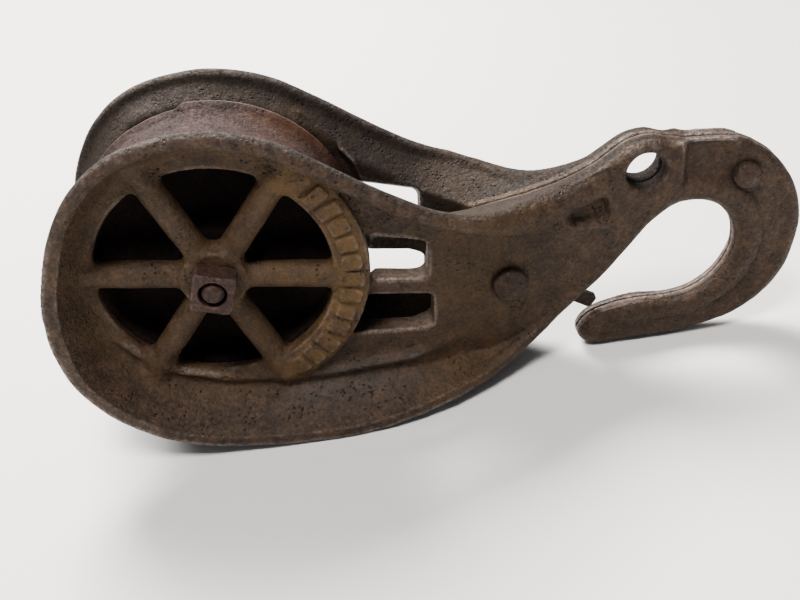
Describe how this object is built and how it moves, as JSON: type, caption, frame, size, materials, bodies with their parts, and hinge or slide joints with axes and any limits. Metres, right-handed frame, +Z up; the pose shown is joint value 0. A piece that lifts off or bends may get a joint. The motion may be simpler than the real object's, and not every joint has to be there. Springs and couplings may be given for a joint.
{
  "type": "hay pulley block with integral hook",
  "caption": "Cast-iron barn pulley block: spoked cheeks with flared rims either side of a wide grooved sheave, joined at a riveted shank with an eye and a closed-mouth hook.",
  "frame": {"origin": "on the bench, under the middle of the block's overall box", "axes": "+X from the wheel end to the hook end, Y across the block along the axle, +Z up, with the block lying on both lower rims and the hook tip"},
  "size_m": [0.3787, 0.1032, 0.1741],
  "materials": {
    "cheek_iron": "rusty sand-cast iron, worn smooth on the rims",
    "sheave_iron": "purple-brown rust polished by rope",
    "fastener_steel": "rusted forged steel",
    "rivet_steel": "rusted and pitted steel"
  },
  "bodies": {
    "frame": {"front_cheek": "cheek_iron", "rear_cheek": "cheek_iron", "axle_sleeve": "fastener_steel", "axle_bolt": "fastener_steel", "axle_nut": "fastener_steel", "shank_rivet": "rivet_steel", "hook_rivet": "rivet_steel", "hook_keeper": "rivet_steel"},
    "sheave_wheel": {"sheave": "sheave_iron"}
  },
  "joints": [
    {"name": "sheave_spin", "type": "hinge", "parent": "frame", "child": "sheave_wheel", "pos_m": [-0.10824, 0, 0.09431], "axis": [0, 1, 0], "continuous": true}
  ]
}
